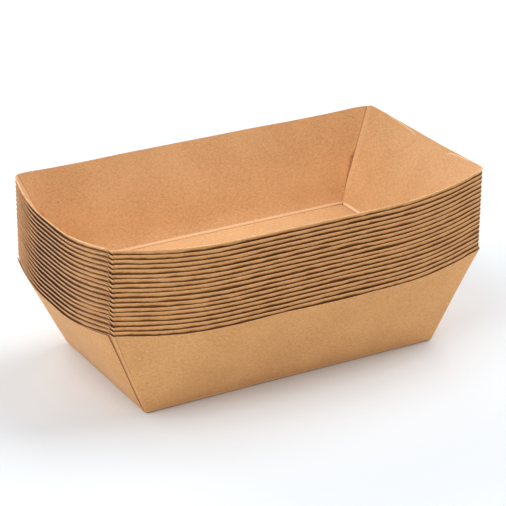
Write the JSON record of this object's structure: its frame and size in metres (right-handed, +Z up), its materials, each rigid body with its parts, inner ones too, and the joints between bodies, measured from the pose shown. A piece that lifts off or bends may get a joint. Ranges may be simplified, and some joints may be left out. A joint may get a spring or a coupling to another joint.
{
  "type": "stack of cardboard trays",
  "caption": "A nested stack of open kraft board food trays with flared, bowed walls, dipping rims and glued corner flaps",
  "frame": {"origin": "on the ground under the middle of the lowest tray's floor", "axes": "+X along the trays, +Y across them, +Z up through the stack"},
  "size_m": [0.2116, 0.1204, 0.0905],
  "materials": {
    "kraft_board": "uncoated brown kraft board with a fine fibre mottle"
  },
  "bodies": {
    "root": {"tray_01": "kraft_board", "tray_02": "kraft_board", "tray_03": "kraft_board", "tray_04": "kraft_board", "tray_05": "kraft_board", "tray_06": "kraft_board", "tray_07": "kraft_board", "tray_08": "kraft_board", "tray_09": "kraft_board", "tray_10": "kraft_board", "tray_11": "kraft_board", "tray_12": "kraft_board", "tray_13": "kraft_board", "tray_14": "kraft_board", "tray_15": "kraft_board", "tray_16": "kraft_board", "tray_17": "kraft_board", "tray_18": "kraft_board", "tray_19": "kraft_board"}
  },
  "joints": []
}
